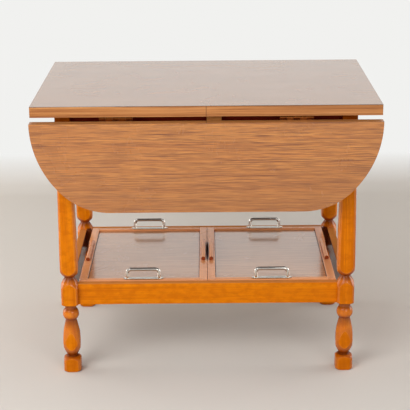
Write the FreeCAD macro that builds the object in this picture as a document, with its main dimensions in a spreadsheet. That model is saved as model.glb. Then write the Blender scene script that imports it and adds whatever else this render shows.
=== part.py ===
"""Drop leaf tea trolley, in millimetres.

X runs along the width, -Y is the front and +Z is up.
The origin is on the floor, under the middle of the top.
Both leaves hang, both lopers are in and both trays rest in the shelf frame.
"""
import FreeCAD, Part
import math
import os
from types import SimpleNamespace

import Sketcher
from FreeCAD import Rotation, Vector

DIMENSIONS = {
    # top
    "top_width": 800,
    "top_depth": 530,
    "top_thickness": 25,
    "trolley_height": 670,
    "laminate_thickness": 1,
    "edging_thickness": 1.2,
    "edging_seam": 0.4,
    # leaves
    "leaf_length": 210,
    "leaf_corner_width": 178,
    "raised_leaf_gap": 0.4,
    # hinges
    "hinge_length": 76,
    "hinge_spacing": 410,
    "hinge_plate_width": 30,
    "hinge_plate_thickness": 1.5,
    "knuckle_radius": 4.2,
    "knuckle_gap": 0.3,
    "barrel_clearance": 0.3,
    "pin_radius": 1.6,
    "pin_clearance": 0.05,
    "hinge_screw_spacing": 25,
    "hinge_screw_setback": 18,
    "hinge_screw_stagger": 5,
    # legs
    "leg_inset_x": 69,
    "leg_inset_y": 53,
    "foot_half_width": 20.3,
    "foot_turning": 25.2,
    "foot_height": 24,
    "foot_shoulder": 13.5,
    "foot_bevel": 4,
    "ankle_radius": 12,
    "ankle_length": 3.5,
    "vase_radius": 25,
    "vase_widest": 75,
    "vase_bottom_round": 90,
    "vase_side_round": 900,
    "vase_top": 130.5,
    "vase_neck_radius": 13.8,
    "ball_bottom": 133.3,
    "ball_round": 19.8,
    "ball_top": 161.3,
    "ball_top_radius": 13.8,
    "block_bottom": 172.6,
    "block_half_width": 20,
    "block_turning": 25.6,
    "block_bevel": 3,
    "block_shoulder": 216,
    "shoulder_round": 300,
    "neck_radius": 12,
    "neck_bottom": 240,
    "neck_length": 2,
    "bulb_turning": 26.3,
    "bulb_widest": 270,
    "swell_half_width": 20.5,
    "swell_top": 292,
    "swell_round": 7500,
    "upper_turning": 21.5,
    "square_half_width": 17.2,
    "square_corner_reach": 8.6,
    "square_shoulder": 12,
    # aprons
    "apron_height": 60,
    "apron_thickness": 12,
    "corner_block_length": 40,
    "corner_block_height": 45,
    "corner_screw_inset": 12,
    # lopers
    "loper_width": 34,
    "loper_height": 24,
    "loper_gap": 2,
    "loper_setback": 29,
    "loper_end_gap": 29.8,
    "loper_round": 1.5,
    "loper_play": 0.3,
    "guide_wall": 12,
    "guide_floor": 16,
    "guide_depth": 60,
    "peg_radius": 4,
    "peg_depth": 12,
    "peg_drop": 10,
    "peg_inset": 11,
    # shelf frame
    "shelf_rail_height": 52,
    "shelf_rail_thickness": 19,
    "shelf_rail_top": 224,
    "shelf_rail_setback": 14,
    "shelf_rail_round": 2.5,
    "side_rail_setback": 7,
    "tenon_length": 16,
    "tenon_thickness": 8,
    "tenon_shoulder": 7,
    "batten_height": 15,
    "batten_thickness": 12,
    "batten_screw_spacing": 240,
    "bearer_width": 24,
    # trays
    "tray_height": 22,
    "tray_proud": 2,
    "tray_gap": 1,
    "tray_leg_play": 1.4,
    "tray_rail_play": 1,
    "tray_side_rail": 19,
    "tray_end_rail": 14,
    "tray_rail_round": 1.2,
    "tray_rim": 5,
    "tray_panel_thickness": 7,
    "tray_groove": 4,
    "grip_radius": 5.25,
    "grip_sink": 0.8,
    "grip_length": 137,
    "grip_offset": 6.5,
    "grip_round": 0.8,
    "grip_relief_length": 156,
    "grip_relief_depth": 3,
    # tray handles
    "handle_posts": 76.8,
    "handle_radius": 4.2,
    "handle_rise": 22.5,
    "handle_bend": 9,
    "handle_plate_length": 97,
    "handle_plate_width": 13.5,
    "handle_plate_tip": 5,
    "handle_plate_taper": 8,
    "handle_plate_thickness": 2.5,
    "handle_screw_radius": 1.6,
    "handle_screw_grip": 7,
    "handle_screw_head_radius": 3.2,
    "handle_screw_head_height": 2.2,
    "handle_counterbore_radius": 4.2,
    "handle_counterbore_depth": 5,
    # wood screws
    "screw_radius": 1.75,
    "screw_head_radius": 3.4,
    "screw_room": 10.2,
    "screw_head_height": 2,
    "screw_tip": 3,
    "screw_slot_width": 0.9,
    "screw_slot_depth": 0.9,
    "hinge_screw_length": 15,
    "leaf_screw_length": 15,
    "batten_screw_length": 24,
    "corner_screw_length": 58,
    "guide_screw_length": 52,
    # every cut runs this far past the piece it cuts
    "cut_overshoot": 1,
}


class Size:
    """A number together with the sheet expression that it comes from."""

    def __init__(self, number, text):
        self.number = number
        self.text = text

    @staticmethod
    def of(value):
        if isinstance(value, Size):
            return value
        return Size(float(value), repr(value))

    def joined(self, sign, other, number):
        return Size(number, "(%s %s %s)" % (self.text, sign, other.text))

    def __neg__(self):
        return Size(-self.number, "(0 - %s)" % self.text)

    def __add__(self, other):
        other = Size.of(other)
        return self.joined("+", other, self.number + other.number)

    def __sub__(self, other):
        other = Size.of(other)
        return self.joined("-", other, self.number - other.number)

    def __mul__(self, other):
        other = Size.of(other)
        return self.joined("*", other, self.number * other.number)

    def __truediv__(self, other):
        other = Size.of(other)
        return self.joined("/", other, self.number / other.number)

    def __rmul__(self, other):
        return Size.of(other) * self


doc = FreeCAD.newDocument("tea_trolley")
sheet = doc.addObject("Spreadsheet::Sheet", "Sizes")
sizes = {}
for row, (alias, dimension) in enumerate(DIMENSIONS.items(), start=1):
    sheet.set("A%d" % row, alias)
    sheet.set("B%d" % row, str(dimension))
    sheet.setAlias("B%d" % row, alias)
    sizes[alias] = Size(float(dimension), "Sizes." + alias)
doc.recompute()
D = SimpleNamespace(**sizes)

ZERO = Size(0.0, "0")
DIRECTIONS = {
    "+x": Rotation(Vector(0, 1, 0), 90),
    "+y": Rotation(Vector(1, 0, 0), -90),
    "-y": Rotation(Vector(1, 0, 0), 90),
    "+z": Rotation(),
}
sub_parts = []


# ---------------------------------------------------------------- helpers

def bind(item, name, size):
    """Drive one property from the sheet."""
    item.setExpression(name, Size.of(size).text)


def place(item, x=ZERO, y=ZERO, z=ZERO, direction="+z"):
    """Stand an item at a point, with its own +Z along the direction."""
    item.Placement = FreeCAD.Placement(Vector(), DIRECTIONS[direction])
    for axis, size in zip("xyz", (x, y, z)):
        bind(item, "Placement.Base." + axis, size)
    return item


def add_part(item, label):
    """Name a finished sub-part."""
    item.Label = label
    sub_parts.append(item)
    return item


def box(name, x, y, z):
    """Block between two limits on each axis."""
    block = doc.addObject("Part::Box", name)
    place(block, x[0], y[0], z[0])
    for side, limits in zip(("Length", "Width", "Height"), (x, y, z)):
        bind(block, side, limits[1] - limits[0])
    return block


def cylinder(name, radius, length, x, y, z, direction="+z"):
    rod = doc.addObject("Part::Cylinder", name)
    bind(rod, "Radius", radius)
    bind(rod, "Height", length)
    return place(rod, x, y, z, direction)


def fuse(name, items):
    if len(items) == 1:
        return items[0]
    union = doc.addObject("Part::MultiFuse", name)
    union.Shapes = items
    union.Refine = True
    return union


def group(name, items):
    """Several separate solids of one kind."""
    compound = doc.addObject("Part::Compound", name)
    compound.Links = items
    return compound


def cut(name, base, tools):
    """Take each tool out of the base."""
    for index, tool in enumerate(tools):
        remainder = doc.addObject("Part::Cut", "%s_cut_%d" % (name, index))
        remainder.Base = base
        remainder.Tool = tool
        remainder.Refine = True
        base = remainder
    return base


def about(middle, width):
    """Limits of a width that is centred on a place."""
    return middle - width / 2, middle + width / 2


def sided(side, near, far):
    """Limits on one axis, from near to far of the middle, on the side -1 or +1."""
    return (near, far) if side > 0 else (-far, -near)


def mirrored(path):
    """A path mirrored left to right, with its arcs turned over."""
    return [(-point[0], point[1]) + tuple(-radius for radius in point[2:]) for point in path]


def reversed_path(path):
    """The same open path travelled the other way."""
    backwards = []
    arcs = [corner[2:] for corner in path[1:]] + [()]
    for corner, arc in zip(path, arcs):
        backwards.insert(0, corner[:2] + tuple(-radius for radius in arc))
    return backwards


def new_body(name, x=ZERO, y=ZERO, z=ZERO, direction="+z"):
    return place(doc.addObject("PartDesign::Body", name), x, y, z, direction)


def arc_between(start, end, radius):
    """Arc of a circle; a positive radius bulges to the right of the way travelled."""
    chord = end - start
    height = math.sqrt(max(radius ** 2 - chord.Length ** 2 / 4, 0))
    left = Vector(-chord.y, chord.x, 0).normalize()
    centre = (start + end) * 0.5 + left * math.copysign(height, radius)
    first, last = (start, end) if radius > 0 else (end, start)
    circle = Part.Circle(centre, Vector(0, 0, 1), abs(radius))
    angles = [math.atan2(point.y - centre.y, point.x - centre.x) for point in (first, last)]
    return Part.ArcOfCircle(circle, *angles)


def draw(body, role, *paths, closed=True):
    """Sketch on an origin plane of the body.

    A path is a list of corners (across, up) or (across, up, radius); the radius belongs to the arc
    that arrives at that corner.
    """
    sketch = body.newObject("Sketcher::SketchObject", "Sketch")
    plane = [item for item in body.Origin.OriginFeatures if item.Role == role][0]
    sketch.AttachmentSupport = [(plane, "")]
    sketch.MapMode = "FlatFace"
    geometry = []
    constraints = []
    driven = []

    def drive(kind, edge, end, size, reference):
        """Hold one coordinate of an edge's end."""
        if size.text == "0":
            constraints.append(Sketcher.Constraint("PointOnObject", edge, end, reference))
            return
        driven.append((len(constraints), size))
        constraints.append(Sketcher.Constraint(kind, -1, 1, edge, end, size.number))

    for path in paths:
        first_edge = len(geometry)
        corners = path[1:] + path[:1] if closed else path[1:]
        for start, end in zip(path, corners):
            edge = len(geometry)
            start_point = Vector(start[0].number, start[1].number, 0)
            end_point = Vector(end[0].number, end[1].number, 0)
            head = 1
            if len(end) == 3:
                geometry.append(arc_between(start_point, end_point, end[2].number))
                head = 1 if end[2].number > 0 else 2
                size = end[2] if end[2].number > 0 else -end[2]
                driven.append((len(constraints), size))
                constraints.append(Sketcher.Constraint("Radius", edge, size.number))
            else:
                geometry.append(Part.LineSegment(start_point, end_point))
            drive("DistanceX", edge, head, start[0], -2)
            drive("DistanceY", edge, head, start[1], -1)
            if edge > first_edge:
                constraints.append(Sketcher.Constraint("Coincident", edge - 1, tail, edge, head))
            else:
                first_head = head
            tail = 3 - head
        if closed:
            constraints.append(Sketcher.Constraint("Coincident", edge, tail, first_edge, first_head))
        else:
            drive("DistanceX", edge, tail, path[-1][0], -2)
            drive("DistanceY", edge, tail, path[-1][1], -1)
    sketch.addGeometry(geometry, False)
    sketch.addConstraint(constraints)
    for index, size in driven:
        sketch.setExpression("Constraints[%d]" % index, size.text)
    return sketch


def pad(body, sketch, length, backwards=False, centred=False):
    feature = body.newObject("PartDesign::Pad", "Pad")
    feature.Profile = sketch
    feature.Reversed = backwards
    feature.SideType = "Symmetric" if centred else "One side"
    bind(feature, "Length", length)
    return feature


def pocket(body, sketch, length):
    """Cut a sketch out of the body, as far on each side of the sketch's plane."""
    feature = body.newObject("PartDesign::Pocket", "Pocket")
    feature.Profile = sketch
    feature.SideType = "Symmetric"
    bind(feature, "Length", length)
    return feature


def turn(body, sketch):
    """Turn a sketch about its upright axis."""
    feature = body.newObject("PartDesign::Revolution", "Revolution")
    feature.Profile = sketch
    feature.ReferenceAxis = (sketch, ["V_Axis"])
    feature.Angle = 360
    return feature


def rounded_top(x, z, radius):
    """Cross-section with two rounded upper corners."""
    return [(x[0], z[0]), (x[1], z[0]), (x[1], z[1] - radius), (x[1] - radius, z[1], radius),
            (x[0] + radius, z[1]), (x[0], z[1] - radius, radius)]


def rounded_all(x, z, radius):
    """Cross-section with four rounded corners."""
    return [(x[0] + radius, z[0], radius), (x[1] - radius, z[0]),
            (x[1], z[0] + radius, radius), (x[1], z[1] - radius),
            (x[1] - radius, z[1], radius), (x[0] + radius, z[1]),
            (x[0], z[1] - radius, radius), (x[0], z[0] + radius)]


def draw_circle(body, role, across, radius):
    """Circle on an origin plane, centred on the plane's horizontal axis."""
    sketch = draw(body, role)
    sketch.addGeometry(Part.Circle(Vector(across.number, 0, 0), Vector(0, 0, 1), radius.number), False)
    sketch.addConstraint([
        Sketcher.Constraint("Radius", 0, radius.number),
        Sketcher.Constraint("DistanceX", -1, 1, 0, 3, across.number),
        Sketcher.Constraint("PointOnObject", 0, 3, -1),
    ])
    sketch.setExpression("Constraints[0]", radius.text)
    sketch.setExpression("Constraints[1]", across.text)
    return sketch


def wood_screws(name, length, heads, direction):
    """Countersunk slotted screws: the whole shapes, which make their holes, and the screws."""
    whole = []
    finished = []
    along, narrow = (2, 1) if direction == "+z" else (1, 2)
    for index, head in enumerate(heads):
        body = new_body("%s_%d" % (name, index), *head, direction)
        profile = [(ZERO, ZERO), (D.screw_head_radius, ZERO), (D.screw_radius, D.screw_head_height),
                   (D.screw_radius, length - D.screw_tip), (ZERO, length)]
        turn(body, draw(body, "XZ_Plane", profile))
        whole.append(body)
        limits = [about(middle, D.screw_room) for middle in head]
        limits[along] = about(head[along], 2 * D.screw_slot_depth)
        limits[narrow] = about(head[narrow], D.screw_slot_width)
        slot = box("%s_slot_%d" % (name, index), *limits)
        finished.append(cut("%s_%d" % (name, index), body, [slot]))
    return group(name + "_holes", whole), group(name, finished)


# ---------------------------------------------------------------- shared places

underside = D.trolley_height - D.top_thickness
half_width = D.top_width / 2
half_depth = D.top_depth / 2
hinge_offset = D.knuckle_radius + D.barrel_clearance
hinge_y = half_depth - hinge_offset
hinge_z = underside - hinge_offset
hinge_x = D.hinge_spacing / 2
leaf_top = hinge_z - hinge_offset - D.raised_leaf_gap
leaf_curve_top = leaf_top - D.edging_thickness
core_thickness = D.top_thickness - D.laminate_thickness

leg_x = half_width - D.leg_inset_x
leg_y = half_depth - D.leg_inset_y
leg_inner_x = leg_x - D.block_half_width
leg_inner_y = leg_y - D.block_half_width
square_inner_x = leg_x - D.square_half_width
square_inner_y = leg_y - D.square_half_width
apron_bottom = underside - D.apron_height
square_bottom = apron_bottom - D.square_shoulder
foot_top = D.foot_height + D.foot_shoulder

loper_top = underside - D.loper_play
loper_bottom = loper_top - D.loper_height
loper_near = D.loper_gap / 2
loper_far = loper_near + D.loper_width
loper_axis = loper_near + D.loper_width / 2
loper_front = half_depth - D.loper_setback
loper_length = loper_front + square_inner_y - D.loper_end_gap
guide_bottom = loper_bottom - D.guide_floor

shelf_rail_bottom = D.shelf_rail_top - D.shelf_rail_height
front_rail_outer = leg_y + D.block_half_width - D.shelf_rail_setback
front_rail_inner = front_rail_outer - D.shelf_rail_thickness
side_rail_outer = leg_x + D.block_half_width - D.side_rail_setback
side_rail_inner = side_rail_outer - D.shelf_rail_thickness

tray_top = D.shelf_rail_top + D.tray_proud
tray_bottom = tray_top - D.tray_height
batten_inner = front_rail_inner - D.batten_thickness
batten_heights = (tray_bottom - D.batten_height, tray_bottom)
tray_near = D.tray_gap / 2
tray_far = leg_inner_x - D.tray_leg_play
tray_half_depth = front_rail_inner - D.tray_rail_play
panel_near = tray_near + D.tray_side_rail
panel_far = tray_far - D.tray_side_rail
panel_half_depth = tray_half_depth - D.tray_end_rail
panel_top = tray_top - D.tray_rim
panel_bottom = panel_top - D.tray_panel_thickness


# ---------------------------------------------------------------- fasteners in the frame

def hinge_screw_spots():
    """Place along X and distance from the hinge axis of the screws in one plate of both hinges."""
    return [(hand * hinge_x + step * D.hinge_screw_spacing,
             D.hinge_screw_setback + (D.hinge_screw_stagger if step == 0 else 0))
            for hand in (-1, 1) for step in (-1, 0, 1)]


frame_screw_places = [(x, side * (hinge_y - setback), underside - D.hinge_plate_thickness)
                      for side in (-1, 1) for x, setback in hinge_screw_spots()]
frame_screw_holes, frame_screws = wood_screws(
    "frame_screws", D.hinge_screw_length, frame_screw_places, "+z")

corner_places = [(sx * (square_inner_x - D.corner_screw_inset),
                  sy * (square_inner_y - D.corner_screw_inset),
                  underside - D.corner_block_height)
                 for sx in (-1, 1) for sy in (-1, 1)]
corner_holes, corner_screws = wood_screws(
    "corner_screws", D.corner_screw_length, corner_places, "+z")

guide_places = [(sx * (loper_far + D.guide_wall / 2), sy * D.guide_depth / 4, guide_bottom)
                for sx in (-1, 1) for sy in (-1, 1)]
guide_holes, guide_screws = wood_screws(
    "guide_screws", D.guide_screw_length, guide_places, "+z")


# ---------------------------------------------------------------- top

def make_top():
    core = box("top_blank",
               about(ZERO, D.top_width - 2 * D.edging_thickness),
               about(ZERO, D.top_depth - 2 * D.edging_thickness),
               (underside, underside + core_thickness))
    add_part(cut("top_core", core, [frame_screw_holes, corner_holes, guide_holes]), "top_core")
    laminate = box("top_laminate_sheet", about(ZERO, D.top_width), about(ZERO, D.top_depth),
                   (underside + core_thickness, D.trolley_height))
    add_part(laminate, "top_laminate")
    heights = (underside, underside + core_thickness)
    for side, word in ((-1, "front"), (1, "rear")):
        name = "top_edging_" + word
        depth = sided(side, half_depth - D.edging_thickness, half_depth)
        strips = [box(name + "_strip", sided(hand, D.edging_seam / 2, half_width), depth, heights)
                  for hand in (-1, 1)]
        add_part(group(name, strips), name)
    ends = [box("top_edging_end", sided(hand, half_width - D.edging_thickness, half_width),
                about(ZERO, D.top_depth - 2 * D.edging_thickness), heights)
            for hand in (-1, 1)]
    add_part(group("top_edging_ends", ends), "top_edging_ends")


# ---------------------------------------------------------------- leaves

def leaf_outline(inset):
    """Curved edge of a leaf, from its upper left end down and round to its upper right end.

    Each corner is two arcs that meet at 45 degrees, so the edge stays tangent all the way.
    """
    half = half_width - inset
    across = D.leaf_corner_width - inset
    down = D.leaf_length - D.edging_thickness - inset
    turned = math.sqrt(0.5)
    rest = 1 - turned
    side_round = (across * rest - down * turned) / (rest - turned)
    low_round = (down * rest - across * turned) / (rest - turned)
    join_x = half - side_round * rest
    join_z = leaf_curve_top - side_round * turned
    bottom = leaf_curve_top - down
    flat = half - across
    return [(-half, leaf_curve_top), (-join_x, join_z, side_round), (-flat, bottom, low_round),
            (flat, bottom), (join_x, join_z, low_round), (half, leaf_curve_top, side_round)]


def up_to(path, top):
    """A leaf's outline with its two ends carried up."""
    return [(path[0][0], top)] + path + [(path[-1][0], top)]


def leaf_slab(name, side, outline, behind, thickness):
    """Slab with a leaf's outline, at a distance behind which lies the leaf's back face."""
    body = new_body(name, y=side * (half_depth + behind))
    pad(body, draw(body, "XZ_Plane", outline), thickness, backwards=side > 0)
    return body


def make_leaf(side, word):
    spots = [(x, side * (half_depth - D.hinge_plate_thickness), hinge_z - setback)
             for x, setback in hinge_screw_spots()]
    holes, screws = wood_screws(word + "_leaf_screws", D.leaf_screw_length, spots,
                                "+y" if side > 0 else "-y")
    core = leaf_slab(word + "_leaf_blank", side, leaf_outline(D.edging_thickness), 0, core_thickness)
    add_part(cut(word + "_leaf_cut", core, [holes]), word + "_leaf_core")
    laminate = leaf_slab(word + "_leaf_sheet", side, up_to(leaf_outline(0), leaf_top),
                         core_thickness, D.laminate_thickness)
    add_part(laminate, word + "_leaf_laminate")
    ring = (up_to(leaf_outline(0), leaf_top)
            + reversed_path(up_to(leaf_outline(D.edging_thickness), leaf_top)))
    band = leaf_slab(word + "_leaf_band", side, ring, 0, core_thickness)
    add_part(band, word + "_leaf_edging_band")
    strips = [box(word + "_leaf_strip",
                  sided(hand, D.edging_seam / 2, half_width - D.edging_thickness),
                  sided(side, half_depth, half_depth + core_thickness),
                  (leaf_curve_top, leaf_top))
              for hand in (-1, 1)]
    add_part(group(word + "_leaf_strips", strips), word + "_leaf_edging_strips")
    plates = group(word + "_leaf_plates",
                   [make_hinge_plate(word + "_leaf_plate", side, hand, False) for hand in (-1, 1)])
    add_part(cut(word + "_leaf_plates_cut", plates, [holes]), word + "_hinge_leaf_plates")
    add_part(screws, word + "_hinge_leaf_screws")


# ---------------------------------------------------------------- hinges

KNUCKLES = 5


def knuckle_spans(hand, on_frame):
    """Limits along X of the knuckles that belong to one plate."""
    pitch = (D.hinge_length + D.knuckle_gap) / KNUCKLES
    start = hand * hinge_x - D.hinge_length / 2
    return [(start + pitch * index, start + pitch * (index + 1) - D.knuckle_gap)
            for index in range(KNUCKLES) if (index % 2 == 0) == on_frame]


def make_hinge_plate(name, side, hand, on_frame):
    """Plate with its knuckles, flat on the underside of the top or on the back of the leaf."""
    along = about(hand * hinge_x, D.hinge_length)
    if on_frame:
        plate = box(name, along, sided(side, hinge_y - D.hinge_plate_width, hinge_y),
                    (underside - D.hinge_plate_thickness, underside))
    else:
        plate = box(name, along, sided(side, half_depth - D.hinge_plate_thickness, half_depth),
                    (hinge_z - D.hinge_plate_width, hinge_z))
    knuckles = [cylinder(name + "_knuckle", D.knuckle_radius, high - low,
                         low, side * hinge_y, hinge_z, "+x")
                for low, high in knuckle_spans(hand, on_frame)]
    gaps = [box(name + "_gap", (low - D.knuckle_gap, high + D.knuckle_gap),
                sided(side, hinge_y - hinge_offset, hinge_y + hinge_offset),
                about(hinge_z, 2 * hinge_offset))
            for low, high in knuckle_spans(hand, not on_frame)]
    bore = cylinder(name + "_bore", D.pin_radius + D.pin_clearance, D.hinge_length,
                    hand * hinge_x - D.hinge_length / 2, side * hinge_y, hinge_z, "+x")
    comb = cut(name + "_comb", plate, gaps)
    return cut(name, fuse(name + "_whole", [comb] + knuckles), [bore])


def make_frame_hinges():
    corners = [(side, hand) for side in (-1, 1) for hand in (-1, 1)]
    plates = group("frame_plates",
                   [make_hinge_plate("frame_plate", side, hand, True) for side, hand in corners])
    add_part(cut("frame_plates_cut", plates, [frame_screw_holes]), "hinge_frame_plates")
    pins = [cylinder("hinge_pin", D.pin_radius, D.hinge_length,
                     hand * hinge_x - D.hinge_length / 2, side * hinge_y, hinge_z, "+x")
            for side, hand in corners]
    add_part(group("pins", pins), "hinge_pins")
    add_part(frame_screws, "hinge_frame_screws")


# ---------------------------------------------------------------- legs

def bulb_round():
    """Radius of the arc that leaves the neck and is upright where the bulb is widest."""
    rise = D.bulb_widest - D.neck_bottom - D.neck_length
    spread = D.bulb_turning - D.neck_radius
    return (rise * rise + spread * spread) / (2 * spread)


def turned_profile():
    """Turned shape of a leg, from the floor up."""
    square_turning = D.square_half_width + D.square_corner_reach
    return [
        (ZERO, ZERO),
        (D.foot_turning - D.foot_bevel, ZERO),
        (D.foot_turning, D.foot_bevel, D.foot_bevel),
        (D.foot_turning, D.foot_height),
        (D.ankle_radius, foot_top, D.foot_turning - D.ankle_radius),
        (D.ankle_radius, foot_top + D.ankle_length),
        (D.vase_radius, D.vase_widest, D.vase_bottom_round),
        (D.vase_neck_radius, D.vase_top, D.vase_side_round),
        (D.vase_neck_radius, D.ball_bottom),
        (D.ball_top_radius, D.ball_top, D.ball_round),
        (D.ball_top_radius, D.block_bottom),
        (D.block_turning - D.block_bevel, D.block_bottom),
        (D.block_turning, D.block_bottom + D.block_bevel, D.block_bevel),
        (D.block_turning, D.block_shoulder),
        (D.neck_radius, D.neck_bottom, D.shoulder_round),
        (D.neck_radius, D.neck_bottom + D.neck_length),
        (D.bulb_turning, D.bulb_widest, bulb_round()),
        (D.upper_turning, square_bottom),
        (square_turning, apron_bottom),
        (square_turning, underside),
        (ZERO, underside),
    ]


def flat_waste():
    """What is planed off one side of a leg, in side view."""
    outside = 2 * D.bulb_turning
    return [
        (outside, ZERO),
        (outside, underside),
        (D.square_half_width, underside),
        (D.square_half_width, square_bottom),
        (D.swell_half_width, D.swell_top, D.swell_round),
        (D.swell_half_width, D.neck_bottom),
        (D.block_half_width, D.neck_bottom),
        (D.block_half_width, foot_top),
        (D.foot_half_width, foot_top),
        (D.foot_half_width, ZERO),
    ]


def make_leg(sx, sy):
    name = "leg_%s_%s" % ("front" if sy < 0 else "rear", "left" if sx < 0 else "right")
    body = new_body(name + "_turned", sx * leg_x, sy * leg_y)
    turn(body, draw(body, "XZ_Plane", turned_profile()))
    for role in ("XZ_Plane", "YZ_Plane"):
        waste = flat_waste()
        pocket(body, draw(body, role, waste, mirrored(waste)), 4 * D.bulb_turning)
    mortises = [front_tenon(sx, sy), side_tenon(sx, sy)]
    add_part(cut(name + "_cut", body, mortises), name)


# ---------------------------------------------------------------- aprons and lopers

def make_aprons():
    heights = (apron_bottom, underside)
    for side, word in ((-1, "front"), (1, "rear")):
        blank = box("apron_blank", about(ZERO, 2 * square_inner_x),
                    sided(side, square_inner_y, square_inner_y + D.apron_thickness), heights)
        notch = box("apron_notch",
                    sided(-side, loper_near - D.loper_play, loper_far + D.loper_play),
                    sided(side, square_inner_y - D.cut_overshoot,
                          square_inner_y + D.apron_thickness + D.cut_overshoot),
                    (loper_bottom, underside + D.cut_overshoot))
        add_part(cut("apron_cut", blank, [notch]), "apron_" + word)
    for side, word in ((-1, "left"), (1, "right")):
        board = box("apron_board", sided(side, square_inner_x, square_inner_x + D.apron_thickness),
                    about(ZERO, 2 * square_inner_y), heights)
        add_part(board, "apron_" + word)


def make_corner_blocks():
    blocks = []
    for sx in (-1, 1):
        for sy in (-1, 1):
            body = new_body("corner_block", z=underside - D.corner_block_height)
            x = sx * square_inner_x
            y = sy * square_inner_y
            outline = [(x, y), (x - sx * D.corner_block_length, y), (x, y - sy * D.corner_block_length)]
            pad(body, draw(body, "XY_Plane", outline), D.corner_block_height)
            blocks.append(body)
    blocks = cut("corner_blocks_cut", group("corner_block_blanks", blocks), [corner_holes])
    add_part(blocks, "corner_blocks")
    add_part(corner_screws, "corner_block_screws")


def make_guide():
    """Block under the middle of the top; both lopers run side by side in its channel."""
    blank = box("guide_blank", about(ZERO, 2 * (loper_far + D.guide_wall)), about(ZERO, D.guide_depth),
                (guide_bottom, underside))
    channel = box("guide_channel", about(ZERO, 2 * (loper_far + D.loper_play)),
                  about(ZERO, D.guide_depth + 2 * D.cut_overshoot),
                  (loper_bottom, underside + D.cut_overshoot))
    add_part(cut("guide_cut", blank, [channel, guide_holes]), "loper_guide")
    add_part(guide_screws, "loper_guide_screws")


def make_loper(side, word):
    """Pull-out leaf support with the stop peg under its inner end."""
    body = new_body(word + "_loper_bar", y=side * loper_front)
    section = rounded_all(sided(-side, loper_near, loper_far), (loper_bottom, loper_top), D.loper_round)
    pad(body, draw(body, "XZ_Plane", section), loper_length, backwards=side < 0)
    peg = cylinder(word + "_peg", D.peg_radius, D.peg_depth + D.peg_drop, -side * loper_axis,
                   side * (loper_front - loper_length + D.peg_inset), loper_bottom - D.peg_drop)
    add_part(cut(word + "_loper_cut", body, [peg]), word + "_loper")
    add_part(peg, word + "_loper_peg")


# ---------------------------------------------------------------- shelf frame

def tenon_heights():
    return shelf_rail_bottom + D.tenon_shoulder, D.shelf_rail_top - D.tenon_shoulder


def front_tenon(sx, sy):
    """Tenon on one end of the front or rear rail."""
    middle = sy * (front_rail_outer - D.shelf_rail_thickness / 2)
    return box("front_tenon", sided(sx, leg_inner_x, leg_inner_x + D.tenon_length),
               about(middle, D.tenon_thickness), tenon_heights())


def side_tenon(sx, sy):
    """Tenon on one end of a side rail."""
    middle = sx * (side_rail_outer - D.shelf_rail_thickness / 2)
    return box("side_tenon", about(middle, D.tenon_thickness),
               sided(sy, leg_inner_y, leg_inner_y + D.tenon_length), tenon_heights())


def make_shelf_rail(word, role, section, length, tenons, holes):
    body = new_body("shelf_rail_body")
    pad(body, draw(body, role, section), length, centred=True)
    rail = fuse("shelf_rail_joined", [body] + tenons)
    add_part(cut("shelf_rail_cut", rail, holes), "shelf_rail_" + word)


def make_shelf_frame():
    heights = (shelf_rail_bottom, D.shelf_rail_top)
    screws = []
    for side, word in ((-1, "front"), (1, "rear")):
        spots = [(step * D.batten_screw_spacing, side * batten_inner, tray_bottom - D.batten_height / 2)
                 for step in (-1, 0, 1)]
        holes, finished = wood_screws(word + "_batten_screws", D.batten_screw_length, spots,
                                      "+y" if side > 0 else "-y")
        screws.append(finished)
        section = rounded_top(sided(side, front_rail_inner, front_rail_outer), heights,
                              D.shelf_rail_round)
        make_shelf_rail(word, "YZ_Plane", section, 2 * leg_inner_x,
                        [front_tenon(sx, side) for sx in (-1, 1)], [holes])
        batten = box("batten", about(ZERO, 2 * leg_inner_x), sided(side, batten_inner, front_rail_inner),
                     batten_heights)
        add_part(cut("batten_cut", batten, [holes]), "tray_batten_" + word)
    add_part(group("both_batten_screws", screws), "batten_screws")
    add_part(box("bearer", about(ZERO, D.bearer_width), about(ZERO, 2 * batten_inner), batten_heights),
             "tray_bearer")
    for side, word in ((-1, "left"), (1, "right")):
        section = rounded_top(sided(side, side_rail_inner, side_rail_outer), heights,
                              D.shelf_rail_round)
        make_shelf_rail(word, "XZ_Plane", section, 2 * leg_inner_y,
                        [side_tenon(side, sy) for sy in (-1, 1)], [])


# ---------------------------------------------------------------- trays

def grip_relief(edge, outward):
    """Shallow hollow in the outer edge of a side rail, beside its grip."""
    body = new_body("grip_relief", edge, D.grip_offset, tray_bottom)
    half = D.grip_relief_length / 2
    radius = (half * half + D.grip_relief_depth * D.grip_relief_depth) / (2 * D.grip_relief_depth)
    hollow = [(D.cut_overshoot, -half), (D.cut_overshoot, half), (ZERO, half), (ZERO, -half, radius)]
    path = hollow if outward > 0 else mirrored(hollow)
    pad(body, draw(body, "XY_Plane", path), D.tray_height)
    return body


def make_grip(name, x):
    """Round bar that lies in a shallow seat along the top of a side rail."""
    axis = tray_top + D.grip_radius - D.grip_sink
    body = new_body(name, x, D.grip_offset - D.grip_length / 2, axis, "+y")
    end = D.grip_length
    profile = [(ZERO, ZERO), (D.grip_radius - D.grip_round, ZERO),
               (D.grip_radius, D.grip_round, D.grip_round), (D.grip_radius, end - D.grip_round),
               (D.grip_radius - D.grip_round, end, D.grip_round), (ZERO, end)]
    turn(body, draw(body, "XZ_Plane", profile))
    return body


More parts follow.
